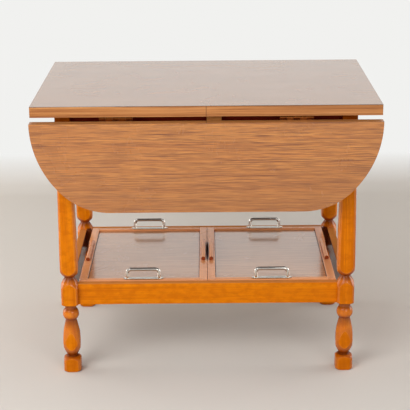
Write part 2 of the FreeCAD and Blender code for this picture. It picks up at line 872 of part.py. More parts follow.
def make_side_rails(sx, word, panel_room):
    """The two long rails of a tray and the grips on them."""
    rails = []
    grips = []
    for near, far, edge, outward in ((panel_far, tray_far, tray_far, sx),
                                     (tray_near, panel_near, tray_near, -sx)):
        body = new_body(word + "_side_rail")
        section = rounded_top(sided(sx, near, far), (tray_bottom, tray_top), D.tray_rail_round)
        pad(body, draw(body, "XZ_Plane", section), 2 * tray_half_depth, centred=True)
        grip = make_grip(word + "_grip", sx * (near + far) / 2)
        grips.append(grip)
        rails.append(cut(word + "_side_rail_cut", body, [panel_room, grip_relief(sx * edge, outward), grip]))
    add_part(group(word + "_side_rails", rails), word + "_tray_side_rails")
    add_part(group(word + "_grips", grips), word + "_tray_grips")


def make_handle_screws(word, posts):
    """Machine screws that come up through an end rail and its plate into the posts of a handle."""
    seat = tray_bottom + D.handle_counterbore_depth
    length = tray_top + D.handle_plate_thickness + D.handle_screw_grip - seat
    screws = []
    for x, y in posts:
        body = new_body(word + "_handle_screw", x, y, seat - D.handle_screw_head_height)
        end = D.handle_screw_head_height + length
        profile = [(ZERO, ZERO), (D.handle_screw_head_radius, ZERO),
                   (D.handle_screw_head_radius, D.handle_screw_head_height),
                   (D.handle_screw_radius, D.handle_screw_head_height),
                   (D.handle_screw_radius, end), (ZERO, end)]
        turn(body, draw(body, "XZ_Plane", profile))
        screws.append(body)
    return group(word + "_handle_screw_group", screws)


def make_handle(name, x, y):
    """Bow of round rod, standing on its plate."""
    body = new_body(name, x, y, tray_top + D.handle_plate_thickness)
    half = D.handle_posts / 2
    bend = D.handle_bend
    path = [(-half, ZERO), (-half, D.handle_rise - bend), (bend - half, D.handle_rise, -bend),
            (half - bend, D.handle_rise), (half, D.handle_rise - bend, -bend), (half, ZERO)]
    spine = draw(body, "XZ_Plane", path, closed=False)
    pipe = body.newObject("PartDesign::AdditivePipe", "Bow")
    pipe.Profile = draw_circle(body, "XY_Plane", -half, D.handle_radius)
    pipe.Spine = (spine, [])
    return body


def make_handle_plate(name, x, y):
    """Flat plate with tapered ends, under a handle."""
    body = new_body(name, x, y, tray_top)
    end = D.handle_plate_length / 2
    shoulder = end - D.handle_plate_taper
    tip = D.handle_plate_tip / 2
    half = D.handle_plate_width / 2
    outline = [(-end, -tip), (-shoulder, -half), (shoulder, -half), (end, -tip),
               (end, tip), (shoulder, half), (-shoulder, half), (-end, tip)]
    pad(body, draw(body, "XY_Plane", outline), D.handle_plate_thickness)
    return body


def make_tray(sx, word):
    """Laminated panel in a frame, with a bow handle at each end."""
    room_x = sided(sx, panel_near - D.tray_groove, panel_far + D.tray_groove)
    room_y = about(ZERO, 2 * (panel_half_depth + D.tray_groove))
    seam = panel_top - D.laminate_thickness
    panel_room = box(word + "_panel_room", room_x, room_y, (panel_bottom, seam))
    add_part(box(word + "_panel", room_x, room_y, (panel_bottom, seam)), word + "_tray_panel")
    add_part(box(word + "_sheet", sided(sx, panel_near, panel_far), about(ZERO, 2 * panel_half_depth),
                 (seam, panel_top)), word + "_tray_laminate")
    make_side_rails(sx, word, panel_room)

    middle = sx * (tray_near + tray_far) / 2
    rows = [sy * (tray_half_depth - D.tray_end_rail / 2) for sy in (-1, 1)]
    posts = [(middle + hand * D.handle_posts / 2, y) for y in rows for hand in (-1, 1)]
    screws = make_handle_screws(word, posts)
    counterbores = group(word + "_counterbores",
                         [cylinder(word + "_counterbore", D.handle_counterbore_radius,
                                   D.handle_counterbore_depth, x, y, tray_bottom)
                          for x, y in posts])
    rails = []
    for sy in (-1, 1):
        body = new_body(word + "_end_rail", middle)
        section = rounded_top(sided(sy, panel_half_depth, tray_half_depth), (tray_bottom, tray_top),
                              D.tray_rail_round)
        pad(body, draw(body, "YZ_Plane", section), panel_far - panel_near, centred=True)
        rails.append(body)
    rails = cut(word + "_end_rails_cut", group(word + "_end_rails", rails),
                [panel_room, counterbores, screws])
    add_part(rails, word + "_tray_end_rails")
    plates = group(word + "_plates", [make_handle_plate(word + "_plate", middle, y) for y in rows])
    add_part(cut(word + "_plates_cut", plates, [screws]), word + "_tray_handle_plates")
    bows = group(word + "_bows", [make_handle(word + "_bow", middle, y) for y in rows])
    add_part(cut(word + "_bows_cut", bows, [screws]), word + "_tray_handles")
    add_part(screws, word + "_tray_handle_screws")


# ---------------------------------------------------------------- the whole trolley

def check_and_export():
    """Stop on anything that failed, then write one file for each sub-part."""
    doc.recompute()
    for item in doc.Objects:
        if "Invalid" in item.State or "Error" in item.State:
            raise RuntimeError("%s (%s) failed" % (item.Name, item.Label))
    for item in sub_parts:
        if item.Shape.isNull() or not item.Shape.isValid():
            raise RuntimeError(item.Label + " has no valid shape")
    os.makedirs("parts", exist_ok=True)
    for item in sub_parts:
        item.Shape.exportStep("parts/%s.step" % item.Label)
    print("%d sub-parts written" % len(sub_parts))


make_top()
make_frame_hinges()
for side, word in ((-1, "front"), (1, "rear")):
    make_leaf(side, word)
    make_loper(side, word)
for sx in (-1, 1):
    for sy in (-1, 1):
        make_leg(sx, sy)
make_aprons()
make_corner_blocks()
make_guide()
make_shelf_frame()
for sx, word in ((-1, "left"), (1, "right")):
    make_tray(sx, word)
check_and_export()
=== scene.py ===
"""Looks of the drop leaf tea trolley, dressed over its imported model.

The front is towards -Y, the long side lies along X and the floor is at zero. The scene is in metres,
and sizes on the trolley are written in mm.
"""

import math

import bmesh
import bpy
from mathutils import Matrix, Vector


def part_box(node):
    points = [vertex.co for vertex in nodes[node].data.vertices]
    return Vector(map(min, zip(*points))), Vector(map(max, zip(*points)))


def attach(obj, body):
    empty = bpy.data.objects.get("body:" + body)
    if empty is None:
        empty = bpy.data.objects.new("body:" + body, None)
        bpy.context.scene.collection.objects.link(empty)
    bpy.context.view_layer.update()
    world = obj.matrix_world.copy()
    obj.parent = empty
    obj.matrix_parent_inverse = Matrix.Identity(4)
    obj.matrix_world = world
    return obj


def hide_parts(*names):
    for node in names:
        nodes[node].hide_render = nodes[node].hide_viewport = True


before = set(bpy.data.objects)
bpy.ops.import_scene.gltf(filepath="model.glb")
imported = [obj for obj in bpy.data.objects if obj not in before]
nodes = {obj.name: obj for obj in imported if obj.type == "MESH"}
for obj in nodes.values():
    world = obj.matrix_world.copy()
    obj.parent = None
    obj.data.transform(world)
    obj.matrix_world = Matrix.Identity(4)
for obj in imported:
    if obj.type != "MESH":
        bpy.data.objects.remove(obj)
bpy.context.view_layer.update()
MM = 0.001
UP = (0.0, 0.0, 1.0)
TO_REAR = (0.0, 1.0, 0.0)


def corners_of(node):
    """A node's lowest and highest corners at rest, in mm."""
    return [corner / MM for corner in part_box(node)]


# ---------------------------------------------------------------- sizes of the new pieces, in mm

# outline of the turning from the floor up: radius, height and, where it bellies out, the arc's radius
LEG_TURNING = (
    (21.2, 0), (25.2, 4, 4), (25.2, 24), (12, 37.5, 13.2), (12, 41), (25, 75, 90), (13.8, 130.5, 900),
    (13.8, 133.3), (13.8, 161.3, 19.8), (13.8, 172.6), (22.6, 172.6), (25.6, 175.6, 3), (25.6, 216),
    (12, 240, 300), (12, 242), (26.3, 270, 34.57), (21.5, 573), (25.8, 585), (25.8, 645),
)
TURNING_STEP = 1.4
# the square stock that the turning was cut from: height, half width
LEG_FLATS = (
    (0, 20.3), (37.5, 20.3), (38, 20), (240, 20), (241, 20.5), (292, 20.5), (432, 18.98), (573, 17.2),
    (645, 17.2),
)
# steps across one flat from arris to arris, and round the turned corner between two flats
FLAT_STEPS = (-1.0, -0.95, -0.7, -0.4, -0.13, 0.13, 0.4, 0.7, 0.95)
CORNER_STEPS = 6
# least and greatest half angle of a flat, in degrees
FLAT_ANGLES = (10, 44)
# how crisply a flat meets the turning, and how far below the turning it counts as planed
ARRIS_CRISPNESS = 90
PLANED_DEPTH = 0.3
leg_low, leg_high = corners_of("leg_rear_right")
leg_centre = (leg_low + leg_high) / 2

# chrome bows: thickness and bend of the rod, foot of its posts, and distance from front bow to rear bow
BOW_ROD = 4.2
BOW_BEND = 9.0
BOW_FOOT = 228.0
BOW_ROW = 382.0
BOW_SIDES = 28
BOW_BEND_STEPS = 12
bow_low, bow_high = corners_of("right_tray_handles")
bow_centre = (bow_low.x + bow_high.x) / 2
bow_half = (bow_high.x - bow_low.x) / 2 - BOW_ROD
bow_top = bow_high.z - BOW_ROD

# round bars on the trays' side rails
GRIP_RADIUS = 5.25
GRIP_EASE = 0.8
GRIP_EASE_STEPS = 6
GRIP_SIDES = 40
grip_low, grip_high = corners_of("right_tray_grips")
grip_centres = (grip_low.x + GRIP_RADIUS, grip_high.x - GRIP_RADIUS)
grip_middle = (grip_low.y + grip_high.y) / 2
grip_half = (grip_high.y - grip_low.y) / 2
grip_height = (grip_low.z + grip_high.z) / 2

# ---------------------------------------------------------------- places that the finishes follow, in mm

leaf_free_edge = corners_of("front_leaf_laminate")[0].z
# height on the leaf from which painted shade darkens it towards its free edge
LEAF_SHADE_FROM = 560.0
sheet_low, sheet_high = corners_of("right_tray_laminate")
# how far each mark is full, and by where it is gone: painted shade from a tray's side rails and its grip
# bars
SHEET_SHADE = (1.2, 2.2)
GRIP_SHADE = (0.6, 1.6)
GRIP_ENDS_SHADE = (0.5, 2.5)
# glue from the joint in the front edging strip, and varnish pooled from the middle of a leg outwards
GLUE_LINE = (0.5, 1.1)
POOLED_VARNISH = (12.5, 18.5)
# maroon painted shade past the inner faces of the shelf rails, under them and over them
SHELF_SHADE_PAST = (0.3, 0.8)
SHELF_SHADE_UNDER = (0.2, 0.6)
SHELF_SHADE_OVER = (1.0, 4.0)
# darker bands of a leg, painted shade under the top and darker near the floor: height where each begins,
# and where it is full
LEG_SHADE_UNDER_TOP = (560.0, 610.0)
NEAR_FLOOR = (60.0, 30.0)
rail_low, rail_high = corners_of("shelf_rail_right")
shelf_half_width = rail_low.x
shelf_half_depth = corners_of("shelf_rail_rear")[0].y


# ---------------------------------------------------------------- wiring of materials

def rgb(red, green, blue):
    """Colour as written on a paint card, made linear."""
    linear = [part / 255 / 12.92 if part <= 10 else ((part / 255 + 0.055) / 1.055) ** 2.4
              for part in (red, green, blue)]
    return (*linear, 1.0)


def wire(tree, output, socket):
    """Joins an output to an input."""
    tree.links.new(output, socket)


def put(tree, kind, wires=None, **settings):
    """Adds a node; wires gives each input a value or another node's output."""
    node = tree.nodes.new(kind)
    for name, value in settings.items():
        setattr(node, name, value)
    for key, value in (wires or {}).items():
        if isinstance(value, bpy.types.NodeSocket):
            wire(tree, value, node.inputs[key])
        else:
            node.inputs[key].default_value = value
    return node


def number(tree, operation, first, second=0.0, clamp=False):
    """Works out a value from one or two others."""
    return put(tree, "ShaderNodeMath", {0: first, 1: second}, operation=operation,
               use_clamp=clamp).outputs[0]


def times(tree, first, second):
    """One value times another."""
    return number(tree, "MULTIPLY", first, second)


def rest_of(tree, share):
    """What a share leaves of one."""
    return number(tree, "SUBTRACT", 1.0, share)


def vector_of(tree, operation, first, second=(0.0, 0.0, 0.0), output=0):
    """Works out a vector from one or two others, or a number where the output is Value."""
    return put(tree, "ShaderNodeVectorMath", {0: first, 1: second}, operation=operation).outputs[output]


def dot(tree, first, second):
    """How far one direction lies along another, from minus one to one."""
    return vector_of(tree, "DOT_PRODUCT", first, second, "Value")


def axes_of(tree, vector):
    """A vector's shares along X, Y and Z."""
    return put(tree, "ShaderNodeSeparateXYZ", {0: vector}).outputs


def tint(tree, amount, under, over):
    """Lays one colour over another by an amount."""
    return put(tree, "ShaderNodeMix", {0: amount, 6: under, 7: over}, data_type="RGBA").outputs[2]


def window(tree, value, low, high, out_low=0.0, out_high=1.0):
    """Stretches the part of a value between two limits over another range, and holds it at the ends."""
    return put(tree, "ShaderNodeMapRange",
               {"Value": value, "From Min": low, "From Max": high, "To Min": out_low, "To Max": out_high}
               ).outputs["Result"]


def cloud(tree, vector, scale, detail, roughness, distortion=0.0):
    """Soft clouds that come out the same each time."""
    return put(tree, "ShaderNodeTexNoise",
               {"Vector": vector, "Scale": scale, "Detail": detail, "Roughness": roughness,
                "Distortion": distortion}).outputs["Fac"]


def shades(tree, value, stops):
    """Turns a value into colours laid out along it."""
    node = put(tree, "ShaderNodeValToRGB", {"Fac": value})
    ramp = node.color_ramp
    while len(ramp.elements) < len(stops):
        ramp.elements.new(1.0)
    for element, (place, colour) in zip(ramp.elements, stops):
        element.position = place
        element.color = colour
    return node.outputs["Color"]


def new_effect(name, takes, gives):
    """An effect that several finishes share: its tree, what goes in and what comes out."""
    tree = bpy.data.node_groups.new(name, "ShaderNodeTree")
    for title, kind, value in takes:
        socket = tree.interface.new_socket(title, in_out="INPUT", socket_type="NodeSocket" + kind)
        if value is not None:
            socket.default_value = value
    for title, kind in gives:
        tree.interface.new_socket(title, in_out="OUTPUT", socket_type="NodeSocket" + kind)
    start = tree.nodes.new("NodeGroupInput")
    end = tree.nodes.new("NodeGroupOutput")
    return tree, start.outputs, end.inputs


# ---------------------------------------------------------------- effects

def build_wood_grain():
    """Broad figure, fine streaks and open pores, drawn out along the grain."""
    tree, given, result = new_effect(
        "wood grain",
        (("Vector", "Vector", None), ("Streaks", "Vector", (2.0, 90.0, 90.0)), ("Wander", "Float", 0.6)),
        (("Figure", "Float"), ("Streak", "Float"), ("Lines", "Float"), ("Pores", "Float"),
         ("Height", "Float")))
    along = vector_of(tree, "MULTIPLY", given["Vector"], given["Streaks"])
    figure = cloud(tree, along, 1.0, 3.0, 0.55, given["Wander"])
    streak = cloud(tree, along, 3.1, 3.0, 0.65)
    lines = window(tree, cloud(tree, along, 3.9, 2.0, 0.55), 0.54, 0.66)
    pores = window(tree, cloud(tree, along, 11.0, 2.0, 0.5), 0.6, 0.7)
    wire(tree, window(tree, figure, 0.28, 0.72), result["Figure"])
    wire(tree, window(tree, streak, 0.3, 0.7), result["Streak"])
    wire(tree, lines, result["Lines"])
    wire(tree, pores, result["Pores"])
    wire(tree, number(tree, "SUBTRACT", times(tree, streak, 0.5), pores), result["Height"])
    return tree


def build_worn_edges():
    """Where an outer edge is rubbed, and the normal of an edge eased with sandpaper."""
    tree, given, result = new_effect(
        "worn edges",
        (("Vector", "Vector", None), ("Ease", "Float", 0.0008), ("Patches", "Float", 60.0)),
        (("Edge", "Float"), ("Wear", "Float"), ("Normal", "Vector")))
    eased = put(tree, "ShaderNodeBevel", {"Radius": given["Ease"]}, samples=6).outputs["Normal"]
    flat = put(tree, "ShaderNodeNewGeometry").outputs["Normal"]
    turn = rest_of(tree, dot(tree, eased, flat))
    edge = window(tree, turn, 0.02, 0.2)
    patches = cloud(tree, given["Vector"], given["Patches"], 4.0, 0.7)
    wire(tree, edge, result["Edge"])
    wire(tree, times(tree, edge, window(tree, patches, 0.56, 0.64)), result["Wear"])
    wire(tree, eased, result["Normal"])
    return tree


def build_handling():
    """Faint smears and dust left by hands and cloths."""
    tree, given, result = new_effect(
        "handling marks",
        (("Vector", "Vector", None), ("Size", "Float", 9.0)),
        (("Smear", "Float"), ("Dust", "Float")))
    smear = cloud(tree, given["Vector"], given["Size"], 5.0, 0.62, 1.4)
    specks = cloud(tree, given["Vector"], 900.0, 1.0, 0.5)
    wire(tree, window(tree, smear, 0.38, 0.68), result["Smear"])
    wire(tree, window(tree, specks, 0.66, 0.74), result["Dust"])
    return tree


wood_grain = build_wood_grain()
worn_edges = build_worn_edges()
handling = build_handling()


def effect(tree, group, wires):
    """Places a shared effect in a finish, with its own values."""
    return put(tree, "ShaderNodeGroup", wires, node_tree=group).outputs


def new_finish(name, **fixed):
    """A material with its shader, its place on the object and its fixed settings."""
    material = bpy.data.materials.new(name)
    material.use_nodes = True
    tree = material.node_tree
    tree.nodes.clear()
    settings = {key.replace("_", " ").title().replace("Ior", "IOR"): value
                for key, value in fixed.items()}
    shader = put(tree, "ShaderNodeBsdfPrincipled", settings)
    out = put(tree, "ShaderNodeOutputMaterial")
    wire(tree, shader.outputs["BSDF"], out.inputs["Surface"])
    place = put(tree, "ShaderNodeTexCoord")
    return material, tree, shader.inputs, place.outputs


def bump(tree, height, depth, normal, strength):
    """Raises and sinks a surface by a height."""
    return put(tree, "ShaderNodeBump", {"Height": height, "Distance": depth, "Strength": strength,
                                        "Normal": normal}).outputs["Normal"]


# ---------------------------------------------------------------- finishes

SHEET_EDGE = rgb(44, 22, 12)
# painted shade on the leaf towards its free edge
PAINTED_LEAF_SHADE = rgb(150, 90, 38)
# painted shade in the corners of a tray's sheet
PAINTED_CORNER_SHADE = rgb(30, 12, 6)
# painted shade beside the grip bars
PAINTED_GRIP_SHADE = rgb(112, 50, 26)
EDGING_SHADES = ((0.0, rgb(150, 92, 46)), (0.5, rgb(186, 122, 66)), (1.0, rgb(212, 150, 92)))
EDGING_LINES = rgb(142, 80, 36)
EDGING_PORES = rgb(104, 56, 28)
EDGING_RUBBED = rgb(206, 160, 118)
OLD_GLUE = rgb(72, 36, 18)
HONEY_SHADES = ((0.0, rgb(190, 96, 2)), (0.45, rgb(218, 119, 3)), (1.0, rgb(232, 138, 8)))
HONEY_STREAK = rgb(198, 102, 2)
HONEY_PORES = rgb(140, 64, 2)
HONEY_SMEAR = rgb(190, 96, 2)
HONEY_BLOTCH = rgb(186, 92, 2)
# painted shade under the top
PAINTED_SHADE_UNDER_TOP = rgb(150, 56, 6)
HONEY_NEAR_FLOOR = rgb(170, 84, 4)
# end grain, with painted shade on the turned faces that look down
SOAKED_END_GRAIN_AND_UNDERSIDE_SHADE = rgb(142, 56, 12)
# pale arrises: worn varnish and a painted highlight
PALE_ARRIS_AND_HIGHLIGHT = rgb(240, 156, 60)
DEEP_VARNISH = rgb(88, 26, 2)
# painted sheen on the rails' upper faces
PAINTED_RAIL_SHEEN = rgb(206, 142, 84)
BARE_BEECH = rgb(244, 194, 132)
# maroon painted shade inside the shelf frame
PAINTED_SHELF_SHADE = rgb(72, 18, 6)
CHIP_SHADES = ((0.0, rgb(78, 52, 34)), (0.5, rgb(92, 63, 42)), (1.0, rgb(108, 76, 52)))
CHIP_SMEAR = rgb(70, 46, 30)


def beside(tree, value, edge, reach, way=1):
    """One as far as a mark is full past an edge, nothing from where it is gone; way -1 is before it."""
    full, gone = reach
    return window(tree, value, (edge + way * gone) * MM, (edge + way * full) * MM)


def laminate(name, light, middle, dark, face, streaks, shaded_corners=False, shade_to_free_edge=False, **coat):
    """Glossy printed teak laminate with the brown edge of the sheet showing.

    Painted shade darkens a tray's sheet against its rails, and darkens a leaf towards its free edge.
    """
    material, tree, shader, place = new_finish(name, coat_weight=1.0, **coat)
    grain = effect(tree, wood_grain, {"Vector": place["Object"], "Streaks": streaks, "Wander": 0.12})
    marks = effect(tree, handling, {"Vector": place["Object"], "Size": 7.0})
    eased = effect(tree, worn_edges, {"Vector": place["Object"], "Ease": 0.0004, "Patches": 80.0})
    fine = cloud(tree, vector_of(tree, "MULTIPLY", place["Object"], streaks), 9.0, 1.0, 0.6)
    colour = tint(tree, grain["Figure"], middle, light)
    colour = tint(tree, times(tree, grain["Streak"], 0.5), colour, middle)
    colour = tint(tree, window(tree, fine, 0.46, 0.6, 0.0, 0.6), colour, dark)
    colour = tint(tree, times(tree, grain["Lines"], 0.75), colour, dark)
    colour = tint(tree, times(tree, grain["Pores"], 0.35), colour, dark)
    side = window(tree, number(tree, "ABSOLUTE", dot(tree, place["Normal"], face)), 0.6, 0.4)
    colour = tint(tree, side, colour, SHEET_EDGE)
    apart = axes_of(tree, vector_of(tree, "ABSOLUTE", place["Object"]))
    # painted shade: the leaf darker towards its free edge
    if shade_to_free_edge:
        darkened = window(tree, apart["Z"], LEAF_SHADE_FROM * MM, leaf_free_edge * MM, 0.0, 0.4)
        colour = tint(tree, darkened, colour, PAINTED_LEAF_SHADE)
    # painted shade: a dark line on a tray's sheet against its side rails, where the coat is left off
    if shaded_corners:
        corner_shade = number(tree, "MAXIMUM", beside(tree, apart["X"], sheet_low.x, SHEET_SHADE),
                       beside(tree, apart["X"], sheet_high.x, SHEET_SHADE, way=-1))
        colour = tint(tree, corner_shade, colour, PAINTED_CORNER_SHADE)
        wire(tree, rest_of(tree, corner_shade), shader["Coat Weight"])
    wire(tree, colour, shader["Base Color"])
    rough = number(tree, "ADD", 0.24, times(tree, marks["Smear"], 0.05))
    wire(tree, number(tree, "ADD", rough, times(tree, marks["Dust"], 0.12)), shader["Roughness"])
    wire(tree, bump(tree, grain["Height"], 0.00002, eased["Normal"], 0.5), shader["Normal"])
    return material


def teak_edging(name, streaks):
    """Thin teak strip, oiled, with darker lines along it."""
    material, tree, shader, place = new_finish(name, coat_weight=0.3, coat_roughness=0.25, coat_ior=1.4,
                                               specular_ior_level=0.3)
    grain = effect(tree, wood_grain, {"Vector": place["Object"], "Streaks": streaks, "Wander": 0.5})
    eased = effect(tree, worn_edges, {"Vector": place["Object"], "Ease": 0.0005, "Patches": 70.0})
    colour = shades(tree, grain["Figure"], EDGING_SHADES)
    colour = tint(tree, times(tree, grain["Lines"], 0.7), colour, EDGING_LINES)
    colour = tint(tree, times(tree, grain["Pores"], 0.5), colour, EDGING_PORES)
    colour = tint(tree, times(tree, eased["Wear"], 0.5), colour, EDGING_RUBBED)
    apart = axes_of(tree, vector_of(tree, "ABSOLUTE", place["Object"]))
    glue = times(tree, beside(tree, apart["X"], 0.0, GLUE_LINE), 0.6)
    colour = tint(tree, glue, colour, OLD_GLUE)
    wire(tree, colour, shader["Base Color"])
    wire(tree, window(tree, grain["Streak"], 0.0, 1.0, 0.34, 0.46), shader["Roughness"])
    wire(tree, bump(tree, grain["Height"], 0.00006, eased["Normal"], 0.6), shader["Normal"])
    return material


def lathe_turned(tree, colour, shine, upward, folded, streak):
    """A leg's dark end grain where the lathe cut across it, with painted shade on faces turned down; its
    arrises, pale from wear and a painted highlight; and its pooled varnish.
    """
    planed = put(tree, "ShaderNodeAttribute", attribute_name="planed").outputs["Fac"]
    lathe_cut = rest_of(tree, planed)
    # end grain on turned faces, plus painted shade where they look down
    end_grain = number(tree, "MAXIMUM", window(tree, upward, 0.25, 0.75, 0.1, 0.62),
                       window(tree, upward, -0.1, -0.6))
    soaked_and_shaded = times(tree, lathe_cut, end_grain)
    colour = tint(tree, times(tree, soaked_and_shaded, 0.85), colour, SOAKED_END_GRAIN_AND_UNDERSIDE_SHADE)
    # pale arrises: worn varnish and a painted highlight
    arris = times(tree, window(tree, planed, 0.05, 0.5), window(tree, planed, 0.95, 0.5))
    colour = tint(tree, times(tree, arris, 0.35), colour, PALE_ARRIS_AND_HIGHLIGHT)
    outward = vector_of(tree, "SUBTRACT", folded, (leg_centre.x * MM, leg_centre.y * MM, 0.0))
    level = vector_of(tree, "MULTIPLY", outward, (1.0, 1.0, 0.0))
    radius = vector_of(tree, "LENGTH", level, output="Value")
    pooled = times(tree, beside(tree, radius, 0.0, POOLED_VARNISH),
                   window(tree, streak, 0.0, 1.0, 0.7, 0.9))
    colour = tint(tree, pooled, colour, DEEP_VARNISH)
    thick = window(tree, upward, 0.25, 0.6, 0.9, 0.45)
    return colour, number(tree, "MAXIMUM", shine, times(tree, lathe_cut, thick))


def sheen_painted_on_top(tree, colour, shine, upward):
    """Painted reflection: the upper face of a shelf rail tinted pale, with less coat there."""
    rubbed = window(tree, upward, 0.6, 0.9)
    colour = tint(tree, times(tree, rubbed, 0.6), colour, PAINTED_RAIL_SHEEN)
    return colour, times(tree, shine, rest_of(tree, rubbed))


def shelf_inside_shade(tree, apart):
    """Painted shade: one on the inner faces of the shelf frame, and nothing elsewhere."""
    within = times(tree, beside(tree, apart["X"], shelf_half_width, SHELF_SHADE_PAST),
                   beside(tree, apart["Y"], shelf_half_depth, SHELF_SHADE_PAST))
    level = times(tree, beside(tree, apart["Z"], rail_low.z, SHELF_SHADE_UNDER, way=-1),
                  beside(tree, apart["Z"], rail_high.z, SHELF_SHADE_OVER))
    return times(tree, within, level)


def honey_varnish(name, streaks, turned=False):
    """Honey coloured varnish on beech, scuffed on its edges; painted sheen on rail tops, painted shade
    under the top and maroon inside the shelf frame.
    """
    material, tree, shader, place = new_finish(name, coat_roughness=0.19, coat_ior=1.52,
                                               specular_ior_level=0.0)
    facing = put(tree, "ShaderNodeLayerWeight", {"Blend": 0.5}).outputs["Facing"]
    shine = window(tree, facing, 0.25, 0.55, 0.14, 0.6)
    grain = effect(tree, wood_grain, {"Vector": place["Object"], "Streaks": streaks, "Wander": 0.8})
    eased = effect(tree, worn_edges, {"Vector": place["Object"], "Ease": 0.001, "Patches": 170.0})
    marks = effect(tree, handling, {"Vector": place["Object"], "Size": 14.0})
    blotch = cloud(tree, vector_of(tree, "MULTIPLY", place["Object"], (0.6, 0.6, 1.0)), 75.0, 3.0, 0.6)
    colour = shades(tree, grain["Figure"], HONEY_SHADES)
    colour = tint(tree, times(tree, grain["Streak"], 0.3), colour, HONEY_STREAK)
    colour = tint(tree, times(tree, grain["Pores"], 0.35), colour, HONEY_PORES)
    colour = tint(tree, times(tree, marks["Smear"], 0.3), colour, HONEY_SMEAR)
    colour = tint(tree, window(tree, blotch, 0.45, 0.62, 0.0, 0.45), colour, HONEY_BLOTCH)
    folded = vector_of(tree, "ABSOLUTE", place["Object"])
    apart = axes_of(tree, folded)
    # painted shade under the top, and a darker band near the floor
    for band, share, shade in ((LEG_SHADE_UNDER_TOP, 0.75, PAINTED_SHADE_UNDER_TOP), (NEAR_FLOOR, 0.4, HONEY_NEAR_FLOOR)):
        begins, full = (height * MM for height in band)
        colour = tint(tree, window(tree, apart["Z"], begins, full, 0.0, share), colour, shade)
    upward = dot(tree, place["Normal"], UP)
    if turned:
        colour, shine = lathe_turned(tree, colour, shine, upward, folded, grain["Streak"])
    else:
        # painted sheen on the upper faces of the rails
        colour, shine = sheen_painted_on_top(tree, colour, shine, upward)
    colour = tint(tree, times(tree, eased["Wear"], 0.75), colour, BARE_BEECH)
    # maroon painted shade on the inner faces of the shelf frame
    colour = tint(tree, times(tree, shelf_inside_shade(tree, apart), 0.9), colour, PAINTED_SHELF_SHADE)
    wire(tree, colour, shader["Base Color"])
    wire(tree, shine, shader["Coat Weight"])
    wire(tree, window(tree, marks["Smear"], 0.0, 1.0, 0.3, 0.46), shader["Roughness"])
    wire(tree, bump(tree, grain["Height"], 0.00008, eased["Normal"], 0.5), shader["Normal"])
    return material


def painted_shade_by_grips(tree, colour, place):
    """Painted shade on a tray's side rails beside the grip bars."""
    apart = axes_of(tree, place)
    across = number(tree, "ABSOLUTE", apart["X"])
    along = number(tree, "ABSOLUTE", number(tree, "SUBTRACT", apart["Y"], grip_middle * MM))
    reach = beside(tree, along, grip_half, GRIP_ENDS_SHADE)
    for centre in grip_centres:
        off_bar = number(tree, "ABSOLUTE", number(tree, "SUBTRACT", across, centre * MM))
        shaded = times(tree, beside(tree, off_bar, GRIP_RADIUS, GRIP_SHADE), 0.5)
        colour = tint(tree, times(tree, shaded, reach), colour, PAINTED_GRIP_SHADE)
    return colour


def stained_wood(name, light, dark, streaks, roughness, coat, worn=None, end_grain=None, grip_shaded=False):
    """Plain stained or bare wood for the pieces under the top and in the trays."""
    material, tree, shader, place = new_finish(name, coat_weight=coat, coat_roughness=0.16, coat_ior=1.4,
                                               specular_ior_level=0.1)
    grain = effect(tree, wood_grain, {"Vector": place["Object"], "Streaks": streaks, "Wander": 0.6})
    eased = effect(tree, worn_edges, {"Vector": place["Object"], "Ease": 0.0006, "Patches": 60.0})
    marks = effect(tree, handling, {"Vector": place["Object"], "Size": 11.0})
    colour = tint(tree, grain["Figure"], dark, light)
    colour = tint(tree, times(tree, grain["Pores"], 0.45), colour, dark)
    # painted highlight: every edge of the tray rails paler, as if catching light
    if worn:
        colour = tint(tree, times(tree, eased["Edge"], 0.55), colour, worn)
    else:
        colour = tint(tree, times(tree, eased["Wear"], 0.5), colour, dark)
    # painted shade on the side rails beside the grip bars
    if grip_shaded:
        colour = painted_shade_by_grips(tree, colour, place["Object"])
    if end_grain:
        endways = number(tree, "ABSOLUTE", dot(tree, place["Normal"], TO_REAR))
        colour = tint(tree, window(tree, endways, 0.5, 0.8), colour, end_grain)
    wire(tree, colour, shader["Base Color"])
    rough = window(tree, marks["Smear"], 0.0, 1.0, roughness - 0.06, roughness + 0.08)
    wire(tree, rough, shader["Roughness"])
    wire(tree, bump(tree, grain["Height"], 0.0001, eased["Normal"], 0.6), shader["Normal"])
    return material


def chip_board(name):
    """Pressed wood chips under a thin brown paper."""
    material, tree, shader, place = new_finish(name)
    drawn_out = vector_of(tree, "MULTIPLY", place["Object"], (1.0, 1.6, 1.0))
    chips = put(tree, "ShaderNodeTexVoronoi", {"Vector": drawn_out, "Scale": 330.0})
    grey = put(tree, "ShaderNodeSeparateColor", {"Color": chips.outputs["Color"]}).outputs["Red"]
    eased = effect(tree, worn_edges, {"Vector": place["Object"], "Ease": 0.0005, "Patches": 60.0})
    marks = effect(tree, handling, {"Vector": place["Object"], "Size": 6.0})
    colour = shades(tree, grey, CHIP_SHADES)
    colour = tint(tree, times(tree, marks["Smear"], 0.35), colour, CHIP_SMEAR)
    wire(tree, colour, shader["Base Color"])
    wire(tree, window(tree, grey, 0.0, 1.0, 0.62, 0.8), shader["Roughness"])
    wire(tree, bump(tree, chips.outputs["Distance"], 0.0001, eased["Normal"], 0.5), shader["Normal"])
    return material


